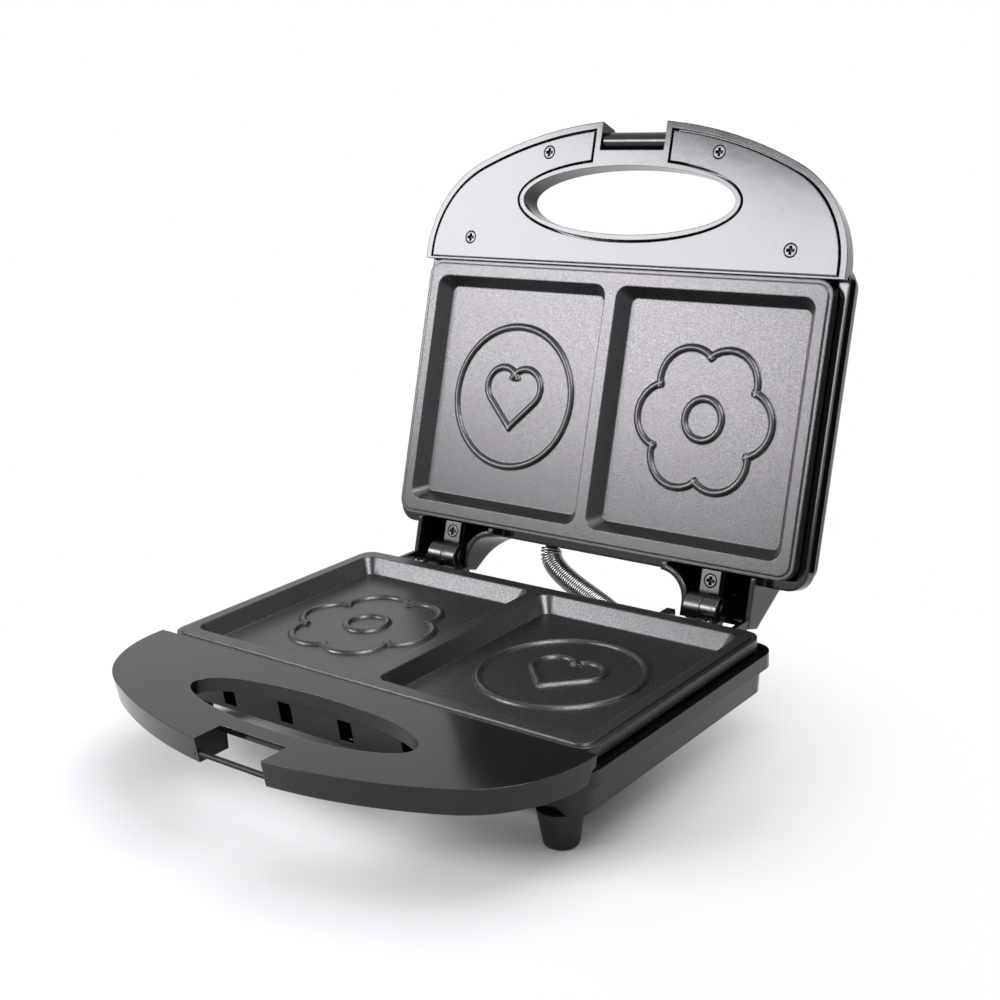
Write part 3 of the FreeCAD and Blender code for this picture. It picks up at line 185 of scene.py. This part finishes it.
SHEET_STEEL = (0.62, 0.62, 0.62, 1)
SHEET_STRAW = (0.6, 0.53, 0.4, 1)
ROLLED_ALONG_X = (0.03, 1, 1)
ROLL_MARKS = 0.000015
CUT_EDGE = 0.0002

sheet = Finish("rolled_sheet", Metallic=1.0)
rolls = sheet.noise(per_metre=700, detail=3, stretch=ROLLED_ALONG_X)
heat = sheet.above(sheet.noise(per_metre=22, detail=2), low=0.45, high=0.75)
sheet.give("Base Color", sheet.blend(heat, SHEET_STEEL, SHEET_STRAW))
sheet.give("Roughness", 0.25 + rolls * 0.2)
sheet.bump(rolls, ROLL_MARKS, sheet.rounded(CUT_EDGE))
dress(sheet, "lower_reflector", "upper_reflector", "lower_element_straps", "upper_element_straps")


# Heating elements: sheathed tubes bent in a wide U, dull from glowing hot.

SHEATH_DARK = (0.2, 0.19, 0.18, 1)
SHEATH_PALE = (0.36, 0.34, 0.31, 1)
HEAT_SCALE = 0.00003

sheath = Finish("heater_sheath", Metallic=1.0)
scale = sheath.noise(per_metre=300, detail=5)
sheath.give("Base Color", sheath.blend(scale, SHEATH_DARK, SHEATH_PALE))
sheath.give("Roughness", 0.4 + scale * 0.25)
sheath.bump(scale, HEAT_SCALE, sheath.rounded(CUT_EDGE))
dress(sheath, "lower_heating_element", "upper_heating_element")


# Thermostat, fuse and terminal block: the small bought-in pieces inside the base. A dark moulded
# body, a drawn metal can and an off-white block.

BODY_DARK = (0.04, 0.035, 0.03, 1)
BODY_PALE = (0.06, 0.052, 0.045, 1)
CAN_DULL = (0.6, 0.59, 0.56, 1)
CAN_BRIGHT = (0.75, 0.74, 0.7, 1)
BLOCK_CREAM = (0.66, 0.64, 0.58, 1)
BLOCK_WHITE = (0.75, 0.73, 0.67, 1)
MOTTLE_DEPTH = 0.00002


def small_piece(name, first, second, roughness, metal):
    piece = Finish(name, Metallic=metal)
    mottle = piece.noise(per_metre=1200, detail=3)
    piece.give("Base Color", piece.blend(mottle, first, second))
    piece.give("Roughness", roughness + mottle * 0.15)
    piece.bump(mottle, MOTTLE_DEPTH, piece.rounded(CUT_EDGE))
    return piece


dress(small_piece("thermostat_body", BODY_DARK, BODY_PALE, roughness=0.4, metal=0.0), "thermostat")
dress(small_piece("fuse_can", CAN_DULL, CAN_BRIGHT, roughness=0.25, metal=1.0), "thermal_fuse")
dress(small_piece("terminal_white", BLOCK_CREAM, BLOCK_WHITE, roughness=0.4, metal=0.0), "terminal_block")


# Cooking plates: aluminium castings with a sprayed dark non-stick coat. The coat holds a few fine
# flakes that catch the light, and the spray leaves a fine grain in its gloss.

COAT_DARK = (0.006, 0.006, 0.0064, 1)
COAT_GREY = (0.024, 0.024, 0.025, 1)
COAT_FLAKE = (0.22, 0.22, 0.226, 1)
COAT_SHEEN = (0.985, 0.94, 1.0, 1)
COAT_GRAIN = 0.000025
CAST_EDGE = 0.0009
FLAKES_PER_METRE = 2000.0

coat = Finish("non_stick_coat", Specular_IOR_Level=0.6, Specular_Tint=COAT_SHEEN)
spray = coat.noise(per_metre=1700, detail=2)
cloud = coat.noise(per_metre=30, detail=2)
flakes = {"Vector": coat.place, "Scale": FLAKES_PER_METRE}
cells = coat.node("ShaderNodeTexVoronoi", {}, flakes, "Color")
glint = coat.above(coat.node("ShaderNodeSeparateColor", {}, {"Color": cells}), low=0.86, high=0.96)
ground = coat.blend(spray * 0.7 + cloud * 0.3, COAT_DARK, COAT_GREY)
coat.give("Base Color", coat.blend(glint * 0.06, ground, COAT_FLAKE))
coat.give("Metallic", coat.above(spray, low=0.38, high=0.62) * 0.38)
coat.give("Roughness", 0.25 + spray * 0.1 - glint * 0.03)
coat.bump(spray, COAT_GRAIN, coat.rounded(CAST_EDGE))
dress(coat, "lower_plate", "upper_plate")


# Hinges, pins and screws: pressed and turned steel with a dark plating that is a little cloudy and
# worn dull in places, with painted shade that darkens it to near black in recesses and where the pieces
# meet.

LEAF_BRIGHT = (0.058, 0.058, 0.06, 1)
LEAF_DULL = (0.028, 0.028, 0.0275, 1)
KNUCKLE_BRIGHT = (0.06, 0.06, 0.062, 1)
KNUCKLE_DULL = (0.03, 0.03, 0.03, 1)
SCREW_BRIGHT = (0.07, 0.07, 0.073, 1)
SCREW_DULL = (0.03, 0.03, 0.031, 1)
# Near-black colour of the painted shade in recesses and where the pieces meet.
CREVICE_SHADE = (0.004, 0.004, 0.004, 1)
CREVICE_REACH = 0.003
PLATING_DEPTH = 0.00002
PRESSED_EDGE = 0.0005


def plated_steel(name, bright, dull, roughness, stain):
    """Plated steel; stain lets the dull patches spread."""
    steel = Finish(name, Metallic=1.0)
    cloudy = steel.noise(per_metre=180, detail=4)
    worn = steel.above(cloudy, low=0.62 - stain, high=0.85)
    fine = steel.noise(per_metre=2200, detail=2)
    # Painted shade: an ambient occlusion node darkens the colour to near black in recesses and where
    # pieces meet, and makes it rougher there.
    reach = {"Distance": CREVICE_REACH}
    occlusion = steel.node("ShaderNodeAmbientOcclusion", {"samples": 8}, reach, "AO")
    unshaded = steel.above(occlusion, low=0.62, high=0.9)
    steel.give("Base Color", steel.blend(unshaded, CREVICE_SHADE, steel.blend(worn, bright, dull)))
    steel.give("Roughness", roughness + worn * 0.18 + fine * 0.06 + (1 - unshaded) * 0.3)
    steel.bump(fine + cloudy, PLATING_DEPTH, steel.rounded(PRESSED_EDGE))
    return steel


leaf_steel = plated_steel("plated_leaves", LEAF_BRIGHT, LEAF_DULL, roughness=0.28, stain=0.06)
dress(leaf_steel, "lid_hinge_right", "lid_hinge_left")
knuckle_steel = plated_steel("plated_brackets", KNUCKLE_BRIGHT, KNUCKLE_DULL, roughness=0.24, stain=0.06)
dress(knuckle_steel, "base_hinge_right", "base_hinge_left", "hinge_pin_right", "hinge_pin_left")
screw_steel = plated_steel("plated_screws", SCREW_BRIGHT, SCREW_DULL, roughness=0.26, stain=0.02)
dress(screw_steel, "base_hinge_screws", "lid_hinge_screws", "lower_plate_screws", "upper_plate_screws")
dress(screw_steel, "grip_cover_screws")


# Catch bar and latch pin: drawn steel rods, blackened, with the fine lines of the die along them.

ROD_DARK = (0.018, 0.018, 0.0185, 1)
ROD_PALE = (0.032, 0.032, 0.033, 1)
DRAWN_ALONG_X = (0.02, 1, 1)
DIE_LINES = 0.00001

rod = Finish("drawn_rod", Metallic=1.0)
lines = rod.noise(per_metre=3000, detail=2, stretch=DRAWN_ALONG_X)
rod.give("Base Color", rod.blend(lines, ROD_DARK, ROD_PALE))
rod.give("Roughness", 0.38 + lines * 0.15)
rod.bump(lines, DIE_LINES, rod.rounded(CUT_EDGE))
dress(rod, "catch_bar", "latch_pin")


# Lid housing, grip cover and latch clip: the same glossy black moulding as the base. The cover is a
# flat plate let into the inner face of the upper grip.

LATCH_GLOSS = 0.16
FLANGE_EDGE = 0.0016
GRIP_STARTS = (0.166, 0.171)


def flange_edge(plastic):
    """Corner radius: wide on the flanges round the plate, tight on the grip above them."""
    height = plastic.node("ShaderNodeSeparateXYZ", {}, {0: plastic.place}, "Z")
    return FLANGE_EDGE - plastic.above(height, *GRIP_STARTS) * (FLANGE_EDGE - SHELL_EDGE)


dress(shell, "grip_cover")
dress(moulded_black("black_lid", SHELL_GLOSS, flange_edge), "lid_housing")
dress(moulded_black("black_latch", LATCH_GLOSS), "latch_clip")


# Indicator lamps on the outer face of the lid: clear coloured lenses over small sealed bulbs.

LENS_RED = (0.62, 0.02, 0.015, 1)
LENS_GREEN = (0.03, 0.45, 0.07, 1)
BULB_AMBER = (0.7, 0.55, 0.4, 1)
BULB_PALE = (0.85, 0.7, 0.52, 1)
FLOW_DEPTH = 0.00002
LENS_EDGE = 0.0003


def tinted_lens(name, tint):
    lens = Finish(name, Base_Color=tint, Transmission_Weight=0.55, IOR=ACRYLIC_IOR)
    flow = lens.noise(per_metre=400, detail=2)
    lens.give("Roughness", 0.06 + flow * 0.05)
    lens.bump(flow, FLOW_DEPTH, lens.rounded(LENS_EDGE))
    return lens


dress(tinted_lens("red_lens", LENS_RED), "power_lamp_lens")
dress(tinted_lens("green_lens", LENS_GREEN), "ready_lamp_lens")
dress(small_piece("bulb_glass", BULB_AMBER, BULB_PALE, roughness=0.1, metal=0.0), "lamp_bulbs")


# Bushes and cord gland: black rubber rings in the rear walls of the lid and the base.

RUBBER_BLACK = (0.011, 0.011, 0.011, 1)
RUBBER_BLOOM = (0.024, 0.024, 0.024, 1)
BLOOM_DEPTH = 0.00003
RUBBER_EDGE = 0.0004

rubber = Finish("black_rubber", Specular_IOR_Level=0.4)
bloom = rubber.noise(per_metre=800, detail=4)
rubber.give("Base Color", rubber.blend(bloom, RUBBER_BLACK, RUBBER_BLOOM))
rubber.give("Roughness", 0.42 + bloom * 0.2)
rubber.bump(bloom, BLOOM_DEPTH, rubber.rounded(RUBBER_EDGE))
dress(rubber, "lid_guard_bush", "base_guard_bush", "cord_gland")


# Wire guard and the lead inside it: a close-wound spring of bright wire that keeps the lead between
# the lid and the base from kinking. It leaves each bush straight and hangs in one easy bend.

WIRE_BRIGHT = (0.32, 0.32, 0.325, 1)
WIRE_DULL = (0.18, 0.18, 0.183, 1)
WIRE_SMEARS = 0.00001
WIRE_EDGE = 0.0001
WIRE_R = 0.00055
WIRE_SIDES = 10
COIL_R = 0.0045
COIL_PITCH = 0.00128
LEAD_R = 0.003
LEAD_SIDES = 20
LEAD_IN = 0.0036
LID_BUSH_CLOSED_Z = 0.0537
LID_PULL = 0.22
BASE_PULL = 0.32
ROUTE_STEPS = 240
STEPS_PER_TURN = 20

lid_joint = next(joint for joint in frame["joints"] if joint["name"] == "lid_hinge")
hinge = Vector(lid_joint["pos_m"])
open_turn = Matrix.Rotation(-math.radians(lid_joint["range_deg"][1]), 3, "X")


def standing_open(point):
    """Place of a point of the closed lid when the lid stands open."""
    return hinge + open_turn @ (point - hinge)


bush_low, bush_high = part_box("base_guard_bush")
lid_bush_low, lid_bush_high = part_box("lid_guard_bush")
base_mouth = Vector(((bush_low.x + bush_high.x) / 2, bush_high.y, (bush_low.z + bush_high.z) / 2))
lid_bush_x = (lid_bush_low.x + lid_bush_high.x) / 2
lid_mouth = standing_open(Vector((lid_bush_x, bush_high.y, LID_BUSH_CLOSED_Z)))
base_way = Vector((0, 1, 0))
lid_way = open_turn @ base_way
bend_from = lid_mouth + lid_way * LEAD_IN
bend_to = base_mouth + base_way * LEAD_IN
across_bend = (bend_to - bend_from).length
lid_pull = lid_way * (across_bend * LID_PULL)
base_pull = base_way * (across_bend * BASE_PULL)


def bend_at(t):
    """Point on the bend between the two straight ends."""
    a, b = bend_from, bend_from + lid_pull
    c, d = bend_to + base_pull, bend_to
    return a * (1 - t) ** 3 + b * (3 * t * (1 - t) ** 2) + c * (3 * t * t * (1 - t)) + d * t**3


route = [lid_mouth] + [bend_at(i / ROUTE_STEPS) for i in range(ROUTE_STEPS + 1)] + [base_mouth]
reached = [0.0]
for before, after in zip(route, route[1:]):
    reached.append(reached[-1] + (after - before).length)


def on_route(length):
    """Point and direction at a length along the route."""
    i = 0
    while i < len(route) - 2 and reached[i + 1] < length:
        i += 1
    along = (route[i + 1] - route[i]).normalized()
    return route[i] + along * (length - reached[i]), along


def placed(name, data):
    """New object in the scene."""
    piece = bpy.data.objects.new(name, data)
    bpy.context.scene.collection.objects.link(piece)
    return piece


def tube(name, points, radius, sides, finish):
    """Closed round tube through the points."""
    corners, faces = [], []
    side = Vector((1, 0, 0))
    for i, point in enumerate(points):
        along = (points[min(i + 1, len(points) - 1)] - points[max(i - 1, 0)]).normalized()
        side = (side - along * side.dot(along)).normalized()
        up = along.cross(side)
        for k in range(sides):
            angle = 2 * math.pi * k / sides
            corners.append(point + (side * math.cos(angle) + up * math.sin(angle)) * radius)
    for i in range(len(points) - 1):
        ring, ring_after = i * sides, (i + 1) * sides
        for k in range(sides):
            after = (k + 1) % sides
            faces.append((ring + k, ring + after, ring_after + after, ring_after + k))
    faces.append(tuple(reversed(range(sides))))
    faces.append(tuple(range((len(points) - 1) * sides, len(points) * sides)))
    mesh = bpy.data.meshes.new(name)
    mesh.from_pydata([tuple(corner) for corner in corners], [], faces)
    for face in mesh.polygons:
        face.use_smooth = len(face.vertices) == 4
    mesh.materials.append(finish.material)
    return placed(name, mesh)


winding = []
wound_from, wound_to = LEAD_IN * 0.5, reached[-1] - LEAD_IN * 0.5
winding_steps = round((wound_to - wound_from) / COIL_PITCH) * STEPS_PER_TURN
for step in range(winding_steps + 1):
    share = step / winding_steps
    middle, along = on_route(wound_from + (wound_to - wound_from) * share)
    across = (Vector((1, 0, 0)) - along * along.x).normalized()
    angle = 2 * math.pi * step / STEPS_PER_TURN
    winding.append(middle + (across * math.cos(angle) + along.cross(across) * math.sin(angle)) * COIL_R)

wire = Finish("spring_wire", Metallic=1.0)
smear = wire.noise(per_metre=500, detail=3)
wire.give("Base Color", wire.blend(smear, WIRE_BRIGHT, WIRE_DULL))
wire.give("Roughness", 0.22 + smear * 0.14)
wire.bump(smear, WIRE_SMEARS, wire.rounded(WIRE_EDGE))
guard = tube("guard_spring", winding, WIRE_R, WIRE_SIDES, wire)
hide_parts("wire_guard")
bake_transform(guard)

lead = tube("guarded_lead", route, LEAD_R, LEAD_SIDES, rubber)
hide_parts("lid_lead")
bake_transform(lead)


# Camera: where the photograph was taken from, a little above the lid's hinge and to the right.

CAMERA_FROM_HINGE = Vector((0.3676, -0.51445, 0.224))
CAMERA_AZIMUTH = math.radians(38.31)
CAMERA_ELEVATION = math.radians(16.29)
CAMERA_ROLL = math.radians(-2.68)
CAMERA_LENS = 53.66
CAMERA_SENSOR = 36.0
CAMERA_SHIFT = (0.003, -0.0015)
CAMERA_NEAR = 0.01

level, rise = math.cos(CAMERA_ELEVATION), math.sin(CAMERA_ELEVATION)
back = Vector((math.sin(CAMERA_AZIMUTH) * level, -math.cos(CAMERA_AZIMUTH) * level, rise))
right = Vector((0, 0, 1)).cross(back).normalized()
up = back.cross(right)
tilted_right = right * math.cos(CAMERA_ROLL) + up * math.sin(CAMERA_ROLL)
tilted_up = up * math.cos(CAMERA_ROLL) - right * math.sin(CAMERA_ROLL)
camera_data = bpy.data.cameras.new("camera")
camera_data.lens = CAMERA_LENS
camera_data.sensor_width = CAMERA_SENSOR
camera_data.clip_start = CAMERA_NEAR
camera_data.shift_x, camera_data.shift_y = CAMERA_SHIFT
camera = placed("camera", camera_data)
turned = Matrix((tilted_right, tilted_up, back)).transposed().to_4x4()
camera.matrix_world = Matrix.Translation(hinge + CAMERA_FROM_HINGE) @ turned
bpy.context.scene.camera = camera


# Floor: a wide pale sweep. Close to the object it is a matt white surface that takes the shadow,
# and further out it fades into the white of the studio.

FLOOR_SIZE = 8.0
FLOOR_WHITE = (0.86, 0.86, 0.885, 1)
SHADOW_MIDDLE = (0.0, -0.12, 0)
SHADOW_NEAR = 0.1
SHADOW_FAR = 0.27


def panel(name, corners, finish):
    """Flat piece of the studio with four corners."""
    mesh = bpy.data.meshes.new(name)
    mesh.from_pydata(corners, [], [(0, 1, 2, 3)])
    mesh.materials.append(finish.material)
    piece = placed(name, mesh)
    return piece


def in_picture(shading):
    """1 for the rays that show the background: from the camera, mirrored or through glass."""
    rays = ("Is Camera Ray", "Is Glossy Ray", "Is Transmission Ray")
    seen, mirrored, through = [shading.node("ShaderNodeLightPath", {}, {}, ray) for ray in rays]
    clamped = {"operation": "ADD", "use_clamp": True}
    return shading.node("ShaderNodeMath", clamped, {0: seen + mirrored, 1: through})


def shown(shading, mask, first, second):
    """Surface that goes from the first shader to the second as the mask goes from 0 to 1."""
    mixed = shading.node("ShaderNodeMixShader", {}, {0: mask, 1: first, 2: second})
    output = next(node for node in shading.tree.nodes if node.type.startswith("OUTPUT"))
    shading.feed(output.inputs["Surface"], mixed)


pale = Finish("pale_floor", Base_Color=FLOOR_WHITE, Roughness=0.9, Specular_IOR_Level=0.0)
from_middle = {0: pale.place, 1: SHADOW_MIDDLE}
away = pale.node("ShaderNodeVectorMath", {"operation": "DISTANCE"}, from_middle, "Value")
faded = pale.above(away, SHADOW_NEAR, SHADOW_FAR) * in_picture(pale)
matt = Socket(pale, pale.shader.outputs[0])
shown(pale, faded, matt, pale.node("ShaderNodeEmission", {}, {}))
half = FLOOR_SIZE / 2
panel("floor", [(-half, -half, 0), (half, -half, 0), (half, half, 0), (-half, half, 0)], pale)


# Light: a softbox at the left, where the inner face of the open lid mirrors it to the camera, a wide
# one overhead and a little light from the white room. Only reflections see the softbox at the right
# front, which puts a sheen on slopes that face right, and the black flag, which darkens the lid's side.

KEY_WAY = Vector((-0.9, -1.25, 0.57)).normalized()
KEY_DISTANCE = 1.71
KEY_WIDTH = 0.85
KEY_HEIGHT = 0.5
KEY_GLOW = 21.5
TOP_AT = Vector((0.1, 0.7, 1.5))
TOP_SIZE = 1.4
TOP_GLOW = 2.2
SIDE_WAY = Vector((0.55, -0.39, 0.74)).normalized()
SIDE_DISTANCE = 0.9
SIDE_SIZE = 0.5
SIDE_GLOW = 18.0
FLAG_LEFT = 0.13
FLAG_RIGHT = 0.55
FLAG_Y = 0.2
FLAG_TOP = 0.32
FLAG_BLACK = (0.004, 0.004, 0.004, 1)
LIT_FROM_HINGE = Vector((0, 0.02, 0.1))
ROOM_WHITE = (1, 1, 1, 1)
ROOM_GLOW = 0.45

lit_middle = hinge + LIT_FROM_HINGE


def softbox(name, at, width, height, glow):
    """Area lamp aimed at the object, with an even glow over its face."""
    lamp = bpy.data.lights.new(name, "AREA")
    lamp.shape = "RECTANGLE"
    lamp.size = width
    lamp.size_y = height
    lamp.energy = glow * math.pi * width * height
    piece = placed(name, lamp)
    piece.location = at
    piece.rotation_euler = (at - lit_middle).to_track_quat("Z", "Y").to_euler()
    return piece


softbox("key_softbox", lit_middle + KEY_WAY * KEY_DISTANCE, KEY_WIDTH, KEY_HEIGHT, KEY_GLOW)
softbox("top_softbox", TOP_AT, TOP_SIZE, TOP_SIZE, TOP_GLOW)
side = softbox("side_softbox", lit_middle + SIDE_WAY * SIDE_DISTANCE, SIDE_SIZE, SIDE_SIZE, SIDE_GLOW)
side.visible_diffuse = False

flag_ends = ((FLAG_LEFT, 0), (FLAG_RIGHT, 0), (FLAG_RIGHT, FLAG_TOP), (FLAG_LEFT, FLAG_TOP))
black_cloth = Finish("black_cloth", Base_Color=FLAG_BLACK, Specular_IOR_Level=0.0)
flag = panel("black_flag", [(x, FLAG_Y, z) for x, z in flag_ends], black_cloth)
flag.visible_camera = flag.visible_shadow = flag.visible_diffuse = False

world = bpy.data.worlds.new("white_room")
bpy.context.scene.world = world
world.use_nodes = True
room = Shading(world.node_tree)
ambient = room.tree.nodes["Background"]
room.feed(ambient.inputs["Color"], ROOM_WHITE)
room.feed(ambient.inputs["Strength"], ROOM_GLOW)
background = room.node("ShaderNodeBackground", {}, {"Color": ROOM_WHITE})
shown(room, in_picture(room), Socket(room, ambient.outputs[0]), background)
bpy.context.scene.view_settings.view_transform = "Standard"
